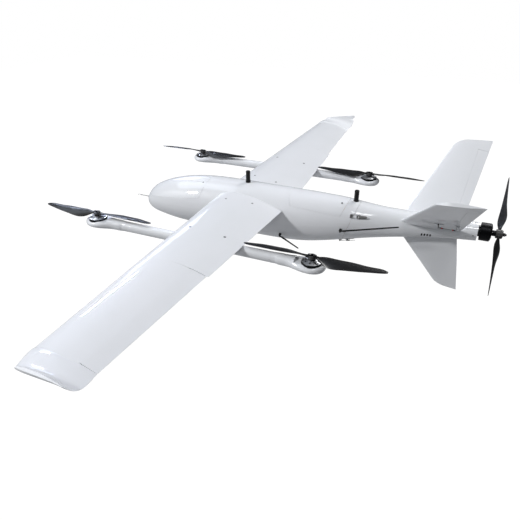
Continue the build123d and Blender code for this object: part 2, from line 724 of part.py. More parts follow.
# ---------------------------------------------------------------- antennas and pitot tube
WHIPS = {                  # X, angle from the top, rod direction, length, radius
    "side_whip_antenna_front": (-211.0, 120.7, (-0.935, 0.304, -0.24), 106.0, 2.4),
    "side_whip_antenna_rear": (-470.0, 98.0, (-0.965, 0.0, 0.262), 235.0, 2.6),
}
WHIP_STAND = 12.0          # knuckle above the skin
PITOT_Z = 77.0
GNSS = ((-17.6, 233.0), (-503.5, 218.0))
GNSS_R = 9.5
GNSS_HEIGHT = 51.5


def build_antennas(outer):
    masts = []
    for x, z in GNSS:
        mast = Pos(x, 0, z + GNSS_HEIGHT / 2) * Cylinder(GNSS_R, GNSS_HEIGHT)
        mast = fillet(mast.edges().group_by(Axis.Z)[-1], 2.5)
        foot = Pos(x, 0, z - 3) * Cylinder(GNSS_R + 1.5, 10)
        masts.append(mast + foot - outer)
    parts["gnss_antennas"] = group(masts)
    sockets = []
    for name, (x, angle, way, length, radius) in WHIPS.items():
        plane = skin_plane(x, angle)
        knuckle = skin_point(x, angle, WHIP_STAND)
        way = Vector(*way).normalized()
        axis = whip_axis(angle, way)
        normal = (knuckle - skin_point(x, angle)).normalized()
        nut = plane * Pos(0, 0, 1.5) * Cylinder(6.0, 9)
        base = rod(skin_point(x, angle, -2), knuckle - normal * 5.0, 5.2)
        fork_plane = Plane(origin=knuckle, x_dir=axis, z_dir=normal)
        cheeks = []
        for near, far in ((-5.2, -4.0), (4.0, 5.2)):
            cheeks.append(fork_plane * block((near, far), (-3.2, 3.2), (-8.0, 0.0)))
            cheeks.append(rod(knuckle + axis * near, knuckle + axis * far, 3.2))
        pin = rod(knuckle - axis * 5.2, knuckle + axis * 5.2, 1.2)
        sockets.append(nut + base + cheeks + pin - outer)
        barrel = rod(knuckle - axis * 3.6, knuckle + axis * 3.6, 3.4)
        whip = cone(knuckle, knuckle + way * length, radius, radius * 0.55)
        tip = Pos(*(knuckle + way * length)) * Sphere(radius * 0.55)
        boot = cone(knuckle, knuckle + way * 24, 3.2, radius)
        hole = rod(knuckle - axis * 6, knuckle + axis * 6, 1.2 + RUN_FIT)
        parts[name] = barrel + boot + whip + tip - hole
    parts["antenna_sockets"] = group(sockets)
    tube = rod((520, 0, PITOT_Z), (595, 0, PITOT_Z), 2.0) - rod((560, 0, PITOT_Z), (600, 0, PITOT_Z), 1.0)
    boss = cone((515, 0, PITOT_Z), (534, 0, PITOT_Z), 6.5, 3.2)
    parts["pitot_tube"] = boss + tube
    parts["fuselage_shell"] = parts["fuselage_shell"] - parts["pitot_tube"]


def whip_axis(angle, way):
    """Hinge axis of a whip: square to the socket's axis and to the rod."""
    turn = radians(angle)
    return Vector(0, sin(turn), cos(turn)).cross(way).normalized()


# ---------------------------------------------------------------- draw latches
LATCHES = {"port": 58.0, "starboard": -62.0, "belly": 157.0}
LATCH_PIVOT = (14.0, 6.2)  # lever pin: aft of the latch origin, above the skin
BAIL_PIVOT = (22.0, 5.6)   # bail pin on the lever


def seam_x(angle_deg):
    """Where the leaning seam crosses the skin at an angle from the top."""
    x = SEAM_X
    for _ in range(6):
        z = skin_point(x, angle_deg).Z
        x = SEAM_X - (z - SEAM_Z) * sin(radians(SEAM_LEAN_DEG)) / cos(radians(SEAM_LEAN_DEG))
    return x


def latch_plane(angle_deg):
    return skin_plane(seam_x(angle_deg) - 8, angle_deg, 26.0)


def build_latches(outer):
    """Base and keeper on the shells, with a lever and a wire bail for each latch."""
    fixed = []
    px, pz = LATCH_PIVOT
    bx, bz = BAIL_PIVOT
    wire_r = 0.8
    wire_y = 6.4
    for name, angle in LATCHES.items():
        plane = latch_plane(angle)
        keeper = block((-20, -10), (-7, 7), (-4, 2.0)) + block((-19, -17.2), (-5, 5), (1, 7.4))
        plate = block((6, 42), (-5.4, 5.4), (-4, 1.2))
        ears = block((px - 3.5, px + 3.5), (-5.4, -4.4), (0, 8.4))
        ears = ears + block((px - 3.5, px + 3.5), (4.4, 5.4), (0, 8.4))
        pin = rod((px, -5.4, pz), (px, 5.4, pz), 1.1)
        fixed.append((plane * (plate + ears + pin)) - outer)
        fixed.append((plane * keeper) - outer)
        barrel = rod((px, -4.1, pz), (px, 4.1, pz), 2.2)
        boss = rod((bx, -4.1, bz), (bx, 4.1, bz), 2.2)
        handle = block((px, px + 30), (-4.1, 4.1), (pz + 0.8, pz + 2.2))
        grip = Pos(px + 30, 0, pz + 1.5) * Cylinder(4.1, 1.4)
        lever_body = barrel + boss + handle + grip
        lever_body = lever_body - rod((px, -8, pz), (px, 8, pz), 1.1 + RUN_FIT)
        lever_body = lever_body - rod((bx, -8, bz), (bx, 8, bz), wire_r + RUN_FIT)
        parts[f"latch_lever_{name}"] = plane * lever_body
        loop_x = -20.0
        loop_z = 4.4
        wires = rod((bx, -wire_y, bz), (bx, wire_y, bz), wire_r)
        wires = wires + rod((loop_x, -wire_y, loop_z), (loop_x, wire_y, loop_z), wire_r)
        for y in (-wire_y, wire_y):
            wires = wires + rod((bx, y, bz), (loop_x, y, loop_z), wire_r)
            wires = wires + Pos(bx, y, bz) * Sphere(wire_r) + Pos(loop_x, y, loop_z) * Sphere(wire_r)
        parts[f"latch_bail_{name}"] = plane * wires
    return fixed


# ---------------------------------------------------------------- assembly
def tail_screws():
    """Small round-head screws on the tail cap and at the fin roots."""
    screws = []
    for angle in (-3, 93, 183, 267):
        screws.append(skin_plane(-961.5, angle, 8.0) * Pos(0, 0, -0.5) * Cylinder(2.3, 3.4))
    return screws


def both_sides(shapes):
    return list(shapes) + [mirrored(shape) for shape in shapes]


def build():
    outer, inner = build_fuselage()
    build_interior(inner)
    tubes, screws, bolts, wing_pins, wing_servo, wing_cover = build_wing(outer)
    spars, tail_pins, tail_servo, tail_cover = build_vtail(outer)
    build_ventral_fin(outer)
    pods, stators, booms = build_lift_units()
    stators.append(build_pusher())
    build_antennas(outer)
    latches = build_latches(outer)
    build_payload_plate(parts["fuselage_shell"])
    caps = tail_screws()
    all_spars = tubes + both_sides(spars)
    bolts = both_sides(bolts)
    parts["spar_tubes"] = group(all_spars)
    parts["lift_boom_tubes"] = group([boom - bolts for boom in booms])
    parts["motor_pods"] = group(pods)
    parts["motor_stators"] = group(stators)
    parts["airframe_screws"] = group(both_sides(screws) + bolts + caps)
    parts["tail_cap"] = parts["tail_cap"] - caps
    parts["hinge_pins"] = group(both_sides(wing_pins + tail_pins))
    parts["servos"] = group(both_sides(wing_servo + tail_servo))
    parts["servo_covers"] = group(both_sides(wing_cover + tail_cover))
    parts["latch_bases"] = group(latches)
    for node in ("fuselage_shell", "tail_boom_shell", "ring_frames"):
        parts[node] = parts[node] - all_spars


build()
os.makedirs("parts", exist_ok=True)
for node, shape in parts.items():
    export_step(shape, f"parts/{node}.step")
print(len(parts), "nodes written")
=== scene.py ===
import json
import math

import bmesh
import bpy
from mathutils import Matrix, Vector


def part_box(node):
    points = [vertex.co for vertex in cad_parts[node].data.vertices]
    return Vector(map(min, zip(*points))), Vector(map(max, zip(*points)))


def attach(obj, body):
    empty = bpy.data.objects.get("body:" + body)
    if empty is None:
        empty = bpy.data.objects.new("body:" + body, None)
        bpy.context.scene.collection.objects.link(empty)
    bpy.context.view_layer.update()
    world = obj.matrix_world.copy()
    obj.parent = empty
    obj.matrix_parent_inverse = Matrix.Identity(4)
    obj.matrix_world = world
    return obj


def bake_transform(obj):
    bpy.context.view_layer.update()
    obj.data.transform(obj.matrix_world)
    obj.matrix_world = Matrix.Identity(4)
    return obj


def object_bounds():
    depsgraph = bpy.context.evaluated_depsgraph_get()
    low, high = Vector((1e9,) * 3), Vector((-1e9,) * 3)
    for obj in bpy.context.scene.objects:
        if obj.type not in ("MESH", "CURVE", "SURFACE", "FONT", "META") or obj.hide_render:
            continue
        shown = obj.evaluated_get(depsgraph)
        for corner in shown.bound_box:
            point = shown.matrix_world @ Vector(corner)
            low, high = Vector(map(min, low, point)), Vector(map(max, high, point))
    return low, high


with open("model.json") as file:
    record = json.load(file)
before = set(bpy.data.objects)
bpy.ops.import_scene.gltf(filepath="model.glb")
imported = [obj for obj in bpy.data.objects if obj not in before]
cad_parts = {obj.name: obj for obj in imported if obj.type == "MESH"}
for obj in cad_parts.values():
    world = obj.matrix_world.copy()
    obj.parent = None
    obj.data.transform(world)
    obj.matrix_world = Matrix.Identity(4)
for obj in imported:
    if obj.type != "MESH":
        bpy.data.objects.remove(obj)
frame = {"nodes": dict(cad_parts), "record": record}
CAD_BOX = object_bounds()
NODES = frame["nodes"]
MM = 0.001
CORNERS = ("front_left", "front_right", "rear_left", "rear_right")
SIDES = ((1, "left"), (-1, "right"))
ABOVE = 0.4                # height in metres that rays down onto the wing start from

# ---------------------------------------------------------------- camera
CAMERA_AT = Vector((-0.88462, 1.83128, 1.01736))
CAMERA_YAW_DEG = -66.054
CAMERA_DOWN_DEG = 30.336
CAMERA_ROLL_DEG = -0.502
CAMERA_LENS = 33.54
SENSOR = 36.0


def add_camera():
    """A camera behind the port wing, looking forward and down."""
    yaw = math.radians(CAMERA_YAW_DEG)
    down = math.radians(CAMERA_DOWN_DEG)
    roll = math.radians(CAMERA_ROLL_DEG)
    forward = Vector((math.cos(yaw) * math.cos(down), math.sin(yaw) * math.cos(down), -math.sin(down)))
    right = forward.cross(Vector((0, 0, 1))).normalized()
    up = right.cross(forward)
    x_axis = right * math.cos(roll) + up * math.sin(roll)
    y_axis = up * math.cos(roll) - right * math.sin(roll)
    data = bpy.data.cameras.new("camera")
    data.lens = CAMERA_LENS
    data.sensor_width = SENSOR
    data.clip_start = 0.01
    data.clip_end = 60.0
    camera = bpy.data.objects.new("camera", data)
    camera.matrix_world = Matrix((
        (x_axis.x, y_axis.x, -forward.x, CAMERA_AT.x),
        (x_axis.y, y_axis.y, -forward.y, CAMERA_AT.y),
        (x_axis.z, y_axis.z, -forward.z, CAMERA_AT.z),
        (0, 0, 0, 1),
    ))
    bpy.context.scene.collection.objects.link(camera)
    bpy.context.scene.camera = camera


# ---------------------------------------------------------------- materials
class Graph:
    """A small builder for one node material."""

    def __init__(self, name):
        self.material = bpy.data.materials.new(name)
        self.material.use_nodes = True
        self.tree = self.material.node_tree
        self.shader = self.tree.nodes["Principled BSDF"]
        coordinates = self.tree.nodes.new("ShaderNodeTexCoord")
        self.object_space = coordinates.outputs["Object"]

    def node(self, kind, **settings):
        made = self.tree.nodes.new(kind)
        for key, value in settings.items():
            setattr(made, key, value)
        return made

    def link(self, source, target):
        self.tree.links.new(source, target)

    def stretched(self, scale):
        mapping = self.node("ShaderNodeMapping")
        mapping.inputs["Scale"].default_value = scale
        self.link(self.object_space, mapping.inputs["Vector"])
        return mapping.outputs["Vector"]

    def noise(self, scale, detail=3.0, rough=0.5, vector=None):
        made = self.node("ShaderNodeTexNoise")
        made.inputs["Scale"].default_value = scale
        made.inputs["Detail"].default_value = detail
        made.inputs["Roughness"].default_value = rough
        self.link(vector or self.object_space, made.inputs["Vector"])
        return made.outputs["Fac"]

    def span(self, source, low, high, start=0.3, end=0.7):
        made = self.node("ShaderNodeMapRange")
        made.inputs["From Min"].default_value = start
        made.inputs["From Max"].default_value = end
        made.inputs["To Min"].default_value = low
        made.inputs["To Max"].default_value = high
        self.link(source, made.inputs["Value"])
        return made.outputs["Result"]

    def mix(self, factor, first, second):
        made = self.node("ShaderNodeMix", data_type="RGBA")
        self.link(factor, made.inputs["Factor"])
        for index, value in ((6, first), (7, second)):
            if isinstance(value, tuple):
                made.inputs[index].default_value = (*value, 1.0)
            else:
                self.link(value, made.inputs[index])
        return made.outputs[2]

    def edges(self, start, end):
        """1 on convex edges, 0 on flats."""
        geometry = self.node("ShaderNodeNewGeometry")
        return self.span(geometry.outputs["Pointiness"], 0.0, 1.0, start, end)

    def bump(self, height, strength, distance):
        made = self.node("ShaderNodeBump")
        made.inputs["Strength"].default_value = strength
        made.inputs["Distance"].default_value = distance
        self.link(height, made.inputs["Height"])
        self.link(made.outputs["Normal"], self.shader.inputs["Normal"])

    def constant(self, **values):
        for key, value in values.items():
            socket = self.shader.inputs[key.replace("_", " ")]
            socket.default_value = value


def paint(name, light, shade):
    """White two-pack paint under a clear gloss coat, with faint cloudiness."""
    g = Graph(name)
    cloud = g.noise(3.0, 4.0, 0.55)
    fine = g.noise(60.0, 3.0, 0.6)
    tone = g.mix(g.span(cloud, 0.0, 1.0, 0.35, 0.65), light, shade)
    g.link(tone, g.shader.inputs["Base Color"])
    g.link(g.span(fine, 0.43, 0.47), g.shader.inputs["Roughness"])
    g.constant(IOR=1.47, Coat_Weight=1.0, Coat_Roughness=0.03)
    return g.material


def blade_plastic(name, dark, lighter, rough):
    """Moulded glass-filled propeller plastic: near black with a fine sheen and scuffed edges."""
    g = Graph(name)
    tone = g.mix(g.span(g.noise(90.0, 4.0, 0.6), 0.0, 1.0), dark, lighter)
    worn = g.mix(g.edges(0.55, 0.65), tone, (0.05, 0.05, 0.05))
    g.link(worn, g.shader.inputs["Base Color"])
    g.link(g.span(g.noise(40.0, 3.0, 0.5), rough, rough + 0.05), g.shader.inputs["Roughness"])
    g.constant(IOR=1.46)
    return g.material


def moulded_black(name, tone, rough, grain):
    g = Graph(name)
    cloud = g.noise(120.0, 4.0, 0.6)
    mixed = g.mix(g.span(cloud, 0.0, 1.0), tone, tuple(2.0 * c for c in tone))
    worn = g.mix(g.edges(0.56, 0.66), mixed, tuple(min(1.0, 4.0 * c) for c in tone))
    g.link(worn, g.shader.inputs["Base Color"])
    g.link(g.span(g.noise(300.0, 3.0, 0.6), rough - 0.08, rough + 0.08), g.shader.inputs["Roughness"])
    g.bump(g.noise(grain, 2.0, 0.5), 0.12, 0.0001)
    g.constant(IOR=1.36)
    return g.material


def metal(name, tone, rough, brushed=(1.0, 1.0, 1.0), scratch=900.0):
    g = Graph(name)
    brush = g.noise(scratch, 3.0, 0.6, g.stretched(brushed))
    stain = g.noise(35.0, 4.0, 0.6)
    mixed = g.mix(g.span(stain, 0.0, 0.6), tone, tuple(0.72 * c for c in tone))
    bright = g.mix(g.edges(0.52, 0.60), mixed, tuple(min(1.0, 1.25 * c + 0.03) for c in tone))
    g.link(bright, g.shader.inputs["Base Color"])
    g.link(g.span(brush, rough - 0.06, rough + 0.10), g.shader.inputs["Roughness"])
    g.bump(brush, 0.12, 0.0001)
    g.constant(Metallic=1.0)
    return g.material


def woven_carbon(name):
    """Two by two twill under clear resin."""
    g = Graph(name)
    checks = g.node("ShaderNodeTexChecker")
    checks.inputs["Scale"].default_value = 500.0
    g.link(g.object_space, checks.inputs["Vector"])
    tone = g.mix(checks.outputs["Fac"], (0.018, 0.018, 0.020), (0.055, 0.055, 0.060))
    g.link(tone, g.shader.inputs["Base Color"])
    g.link(g.span(g.noise(200.0), 0.28, 0.40), g.shader.inputs["Roughness"])
    g.bump(checks.outputs["Fac"], 0.10, 0.0002)
    g.constant(Coat_Weight=0.4, Coat_Roughness=0.12)
    return g.material


def birch_ply(name):
    g = Graph(name)
    grain = g.noise(260.0, 5.0, 0.6, g.stretched((0.06, 1.0, 1.0)))
    tone = g.mix(g.span(grain, 0.0, 1.0), (0.60, 0.44, 0.27), (0.40, 0.27, 0.15))
    g.link(tone, g.shader.inputs["Base Color"])
    g.link(g.span(grain, 0.45, 0.65), g.shader.inputs["Roughness"])
    g.bump(grain, 0.20, 0.0003)
    return g.material


def shrink_wrap(name):
    g = Graph(name)
    wrinkle = g.noise(70.0, 4.0, 0.6, g.stretched((1.0, 4.0, 1.0)))
    tone = g.mix(g.span(wrinkle, 0.0, 1.0), (0.03, 0.045, 0.09), (0.05, 0.07, 0.13))
    g.link(tone, g.shader.inputs["Base Color"])
    g.link(g.span(wrinkle, 0.25, 0.42), g.shader.inputs["Roughness"])
    g.bump(wrinkle, 0.35, 0.0008)
    return g.material


def make_materials():
    return {
        "white_paint": paint("white_gloss_paint", (0.86, 0.87, 0.90), (0.83, 0.845, 0.87)),
        "propeller_plastic": blade_plastic(
            "propeller_plastic", (0.006, 0.006, 0.007), (0.011, 0.011, 0.012), 0.33),
        "black_plastic": moulded_black("black_moulded_plastic", (0.006, 0.006, 0.006), 0.42, 1800.0),
        "black_rubber": moulded_black("black_antenna_rubber", (0.004, 0.004, 0.004), 0.40, 1200.0),
        "black_metal": metal("black_anodised_metal", (0.016, 0.016, 0.018), 0.36),
        "motor_metal": metal("lacquered_windings", (0.42, 0.26, 0.14), 0.38, (1.0, 1.0, 0.2)),
        "aluminium": metal("machined_aluminium", (0.80, 0.81, 0.83), 0.30, (1.0, 1.0, 0.15)),
        "steel": metal("stainless_steel", (0.24, 0.24, 0.24), 0.34, (0.2, 1.0, 1.0)),
        "carbon_plate": woven_carbon("woven_carbon"),
        "plywood": birch_ply("birch_plywood"),
        "battery_wrap": shrink_wrap("battery_shrink_wrap"),
        "red_rubber": moulded_black("red_keeper_rubber", (0.30, 0.012, 0.010), 0.50, 1500.0),
        "bright_crown": metal("satin_bell_crown", (0.88, 0.89, 0.92), 0.34, (1.0, 1.0, 0.15)),
    }


SMOOTH_ANGLE_DEG = 32.0


def smooth(obj, angle_deg=SMOOTH_ANGLE_DEG):
    """Smooth shading that keeps edges sharper than the angle."""
    mesh = obj.data
    mesh.shade_smooth()
    mesh.set_sharp_from_angle(angle=math.radians(angle_deg))


# ---------------------------------------------------------------- stage
def add_area(name, azimuth_deg, height_deg, distance, width, tall, power, colour):
    """A soft box at a distance from the middle of the drone, facing it."""
    centre = (CAD_BOX[0] + CAD_BOX[1]) / 2
    data = bpy.data.lights.new(name, "AREA")
    data.shape = "RECTANGLE"
    data.size = width
    data.size_y = tall
    data.energy = power
    data.color = colour
    lamp = bpy.data.objects.new(name, data)
    azimuth = math.radians(azimuth_deg)
    height = math.radians(height_deg)
    toward = Vector((
        math.cos(azimuth) * math.cos(height),
        math.sin(azimuth) * math.cos(height),
        math.sin(height),
    ))
    lamp.location = centre + toward * distance
    lamp.rotation_mode = "QUATERNION"
    lamp.rotation_quaternion = toward.to_track_quat("Z", "Y")
    bpy.context.scene.collection.objects.link(lamp)


def set_world():
    """White behind the drone, and a weak cool fill all round."""
    world = bpy.data.worlds.new("studio")
    world.use_nodes = True
    bpy.context.scene.world = world
    tree = world.node_tree
    background = tree.nodes["Background"]
    background.inputs["Color"].default_value = (0.93, 0.96, 1.0, 1.0)
    background.inputs["Strength"].default_value = 0.10
    seen = tree.nodes.new("ShaderNodeBackground")
    seen.inputs["Color"].default_value = (1.0, 1.0, 1.0, 1.0)
    seen.inputs["Strength"].default_value = 1.0
    path = tree.nodes.new("ShaderNodeLightPath")
    join = tree.nodes.new("ShaderNodeMixShader")
    output = tree.nodes["World Output"]
    tree.links.new(path.outputs["Is Camera Ray"], join.inputs["Fac"])
    tree.links.new(background.outputs["Background"], join.inputs[1])
    tree.links.new(seen.outputs["Background"], join.inputs[2])
    tree.links.new(join.outputs["Shader"], output.inputs["Surface"])


def add_floor():
    """A pale seamless floor well below the drone, lit to white."""
    mesh = bpy.data.meshes.new("studio_floor")
    half = 12.0
    low = -1.3
    steps = 12
    verts = []
    faces = []
    for i in range(steps + 1):
        for j in range(steps + 1):
            verts.append((-half + 2 * half * i / steps, -half + 2 * half * j / steps, low))
    for i in range(steps):
        for j in range(steps):
            a = i * (steps + 1) + j
            faces.append((a, a + steps + 1, a + steps + 2, a + 1))
    mesh.from_pydata(verts, [], faces)
    floor = bpy.data.objects.new("studio_floor", mesh)
    bpy.context.scene.collection.objects.link(floor)
    material = bpy.data.materials.new("pale_floor")
    material.use_nodes = True
    tree = material.node_tree
    shader = tree.nodes["Principled BSDF"]
    noise = tree.nodes.new("ShaderNodeTexNoise")
    noise.inputs["Scale"].default_value = 2.0
    spread = tree.nodes.new("ShaderNodeMapRange")
    spread.inputs["To Min"].default_value = 0.6
    spread.inputs["To Max"].default_value = 0.8
    tree.links.new(noise.outputs["Fac"], spread.inputs["Value"])
    tree.links.new(spread.outputs["Result"], shader.inputs["Roughness"])
    shader.inputs["Base Color"].default_value = (0.36, 0.36, 0.36, 1.0)
    glow = tree.nodes.new("ShaderNodeEmission")
    glow.inputs["Strength"].default_value = 1.05
    path = tree.nodes.new("ShaderNodeLightPath")
    join = tree.nodes.new("ShaderNodeMixShader")
    output = tree.nodes["Material Output"]
    tree.links.new(path.outputs["Is Camera Ray"], join.inputs["Fac"])
    tree.links.new(shader.outputs["BSDF"], join.inputs[1])
    tree.links.new(glow.outputs["Emission"], join.inputs[2])
    tree.links.new(join.outputs["Shader"], output.inputs["Surface"])
    mesh.materials.append(material)


LIGHTS = [                 # name, azimuth from the nose to port, height, distance, width, tall, power, colour
    ("key_light", 38.0, 34.0, 12.0, 1.2, 1.2, 720.0, (1.0, 1.0, 1.0)),
    ("camera_side_light", 110.0, 60.0, 12.0, 2.4, 2.4, 190.0, (1.0, 1.0, 1.0)),
    ("starboard_rear_light", 240.0, 42.0, 5.0, 2.0, 2.0, 150.0, (1.0, 1.0, 1.0)),
    ("front_light", 0.0, 50.0, 6.0, 3.0, 3.0, 78.0, (0.82, 0.89, 1.0)),
    ("low_front_light", 30.0, 15.0, 6.0, 3.0, 3.0, 38.0, (0.92, 0.95, 1.0)),
    ("glint_light", -39.0, 30.0, 12.0, 2.0, 0.2, 200.0, (0.72, 0.80, 1.0)),
    ("blue_window", -46.0, 20.0, 12.0, 3.0, 1.6, 55.0, (0.62, 0.70, 1.0)),
]


def add_lights():
    for row in LIGHTS:
        add_area(*row)


# ---------------------------------------------------------------- pieces
def middle(node):
    """Centre of a CAD node's box, in metres."""
    low, high = (Vector(corner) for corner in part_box(node))
    return (low + high) / 2


def finish_piece(name, bm, material, body, bevel=0.0, angle_deg=SMOOTH_ANGLE_DEG):
    """Turns a mesh into a named piece that rides on a body; with no body the caller bakes its transform."""
    bmesh.ops.remove_doubles(bm, verts=bm.verts, dist=1e-6)
    bmesh.ops.recalc_face_normals(bm, faces=bm.faces)
    mesh = bpy.data.meshes.new(name)
    bm.to_mesh(mesh)
    bm.free()
    piece = bpy.data.objects.new(name, mesh)
    bpy.context.scene.collection.objects.link(piece)
    mesh.materials.append(MATERIALS[material])
    if bevel > 0:
        rounding = piece.modifiers.new("rounding", "BEVEL")
        rounding.width = bevel
        rounding.segments = 2
        rounding.angle_limit = math.radians(40)
    smooth(piece, angle_deg)
    if body:
        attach(piece, body)
    return piece


def frame_at(origin, axis, across=None):
    """Matrix whose Z axis lies along axis, and X as near as it can to across."""
    z = Vector(axis).normalized()
    guess = Vector(across) if across else (Vector((1, 0, 0)) if abs(z.x) < 0.9 else Vector((0, 1, 0)))
    x = (guess - z * guess.dot(z)).normalized()
    y = z.cross(x)
    return Matrix((
        (x.x, y.x, z.x, origin[0]),
        (x.y, y.y, z.y, origin[1]),
        (x.z, y.z, z.z, origin[2]),
        (0, 0, 0, 1),
    ))


def lathe(bm, place, profile, segments=32):
    """Closed solid of revolution from (radius, height) pairs in millimetres; radius 0 closes an end."""
    rings = []
    for radius, height in profile:
        if radius < 1e-6:
            rings.append([bm.verts.new(place @ Vector((0, 0, height * MM)))])
            continue
        ring = []
        for step in range(segments):
            turn = 2 * math.pi * step / segments
            spot = Vector((radius * MM * math.cos(turn), radius * MM * math.sin(turn), height * MM))
            ring.append(bm.verts.new(place @ spot))
        rings.append(ring)
    closed = len(rings[0]) > 1
    pairs = list(zip(rings, rings[1:]))
    if closed:
        pairs.append((rings[-1], rings[0]))
    for low, high in pairs:
        for step in range(segments):
            after = (step + 1) % segments
            if len(low) == 1:
                bm.faces.new((low[0], high[after], high[step]))
            elif len(high) == 1:
                bm.faces.new((low[step], low[after], high[0]))
            else:
                bm.faces.new((low[step], low[after], high[after], high[step]))


def slab(bm, place, outline, low, high):
    """Prism of a closed outline in millimetres between two heights."""
    bottom = [bm.verts.new(place @ Vector((x * MM, y * MM, low * MM))) for x, y in outline]
    top = [bm.verts.new(place @ Vector((x * MM, y * MM, high * MM))) for x, y in outline]
    count = len(outline)
    for step in range(count):
        after = (step + 1) % count
        bm.faces.new((bottom[step], bottom[after], top[after], top[step]))
    bm.faces.new(top)
    bm.faces.new(list(reversed(bottom)))


def hoop(bm, place, outline, inner, low, high):
    """Band between two outlines that have the same number of points."""
    loops = []
    for points, height in ((outline, low), (outline, high), (inner, high), (inner, low)):
        loops.append([bm.verts.new(place @ Vector((x * MM, y * MM, height * MM))) for x, y in points])
    count = len(outline)
    for first, second in zip(loops, loops[1:] + loops[:1]):
        for step in range(count):
            after = (step + 1) % count
            bm.faces.new((first[step], first[after], second[after], second[step]))


def round_rect(length, width, corner, steps=6):
    """Outline of a rectangle with rounded corners, in millimetres."""
    points = []
    for turn, sx, sy in ((0, 1, 1), (90, -1, 1), (180, -1, -1), (270, 1, -1)):
        cx = sx * (length / 2 - corner)
        cy = sy * (width / 2 - corner)
        for step in range(steps + 1):
            angle = math.radians(turn + 90 * step / steps)
            points.append((cx + corner * math.cos(angle), cy + corner * math.sin(angle)))
    return points


def socket_screw(bm, place, radius, height):
    """Button-head screw with a hexagon socket."""
    lathe(bm, place, [
        (0, -0.4), (radius, -0.4), (radius, 0.25 * height), (0.86 * radius, 0.75 * height),
        (0.55 * radius, height), (0.42 * radius, height), (0.40 * radius, 0.35 * height), (0, 0.25 * height),
    ], 18)


def around(radius, turn_deg, height):
    """Point on a circle about the local Z axis, from millimetres to metres."""
    turn = math.radians(turn_deg)
    return Vector((radius * math.cos(turn), radius * math.sin(turn), height)) * MM


def skin_hit(node, start, way):
    """Point and normal where a ray meets a CAD node's surface."""
    found, point, normal, _ = NODES[node].ray_cast(Vector(start), Vector(way).normalized())
    if not found:
        raise ValueError("no surface there: " + node)
    return point, normal


def add_lift_details():
    """Clamp plates, screws and bell rings of the four lift rotors."""
    for corner in CORNERS:
        body = "lift_rotor_" + corner
        bell = "lift_motor_bell_" + corner
        propeller = "lift_propeller_" + corner
        centre = middle(bell)
        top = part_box(propeller)[1][2]
        hub = frame_at((centre.x, centre.y, top), (0, 0, 1))
        plates = bmesh.new()
        hoop(plates, hub, round_rect(33, 14, 6.5), round_rect(8.4, 8.4, 4.1), -2.6, -0.9)
        finish_piece("hub_clamp_" + corner, plates, "black_metal", body, 0.0004)
        screws = bmesh.new()
        for x in (-8.0, 8.0):
            socket_screw(screws, hub @ Matrix.Translation((x * MM, 0, 0)), 3.3, 2.2)
        for x in (-13.2, 13.2):
            socket_screw(screws, hub @ Matrix.Translation((x * MM, 0, -0.9 * MM)), 1.8, 1.4)
        finish_piece("hub_screws_" + corner, screws, "steel", body)
        ring = bmesh.new()
        seat = frame_at((centre.x, centre.y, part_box(bell)[0][2]), (0, 0, 1))
        lathe(ring, seat, [
            (37.2, 6.0), (37.4, 7.0), (37.4, 12.6), (36.9, 13.6), (36.4, 13.6), (36.4, 6.0),
        ], 64)
        finish_piece("bell_ring_" + corner, ring, "black_metal", body)
        heads = bmesh.new()
        for turn in range(0, 360, 90):
            socket_screw(heads, seat @ Matrix.Translation(around(17.5, turn + 22.5, 19.3)), 1.7, 1.2)
        finish_piece("bell_screws_" + corner, heads, "steel", body)


def add_pusher_details():
    """Boss, screws and clamp washer of the pusher."""
    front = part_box("pusher_motor_bell")[1][0]
    z = middle("pusher_motor_bell").z
    aft_face = front - 42.0 * MM
    rim = bmesh.new()
    place = frame_at((aft_face, 0, z), (-1, 0, 0))
    lathe(rim, place, [(13.0, -0.6), (27.0, -0.6), (27.0, 0.7), (26.4, 1.2), (14.0, 1.6), (13.0, 1.0)], 48)
    finish_piece("pusher_bell_boss", rim, "black_metal", "pusher_rotor")
    heads = bmesh.new()
    for turn in range(30, 390, 60):
        socket_screw(heads, place @ Matrix.Translation(around(20.0, turn, 1.2)), 2.0, 1.6)
    finish_piece("pusher_bell_screws", heads, "steel", "pusher_rotor")
    clamp = bmesh.new()
    nut_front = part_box("pusher_prop_nut")[1][0]
    seat = frame_at((nut_front, 0, z), (-1, 0, 0))
    hoop(clamp, seat, round_rect(29, 29, 14.4, 10), round_rect(21, 21, 10.4, 10), -0.5, 1.8)
    finish_piece("pusher_clamp_washer", clamp, "black_metal", "pusher_rotor", 0.0003)
    clamp_screws = bmesh.new()
    for turn in range(0, 360, 90):
        socket_screw(clamp_screws, seat @ Matrix.Translation(around(12.4, turn, 1.6)), 1.5, 1.2)
    finish_piece("pusher_clamp_screws", clamp_screws, "steel", "pusher_rotor")


def add_vents():
    """Four slots on each side of the tail boom: a black rim, and in each a black plug that is painted shade
    for the slot's dark hollow.
    """
    z = 0.145
    for side, side_name in SIDES:
        slots = bmesh.new()
        for count in range(4):
            x = -780.0 - 10.5 * count
            point, normal = skin_hit("tail_boom_shell", (x * MM, side * 0.3, z), (0, -side, 0))
            place = frame_at(point, normal, (0, 0, 1))
            hoop(slots, place, round_rect(14.0, 5.8, 2.8), round_rect(12.8, 4.6, 2.25), -0.6, 0.4)
            # Painted shade: a black plug fills the opening where the slot's hollow would fall in shade.
            slab(slots, place, round_rect(13.0, 4.8, 2.35), -0.6, 0.25)
        finish_piece("boom_vents_" + side_name, slots, "black_plastic", "root")


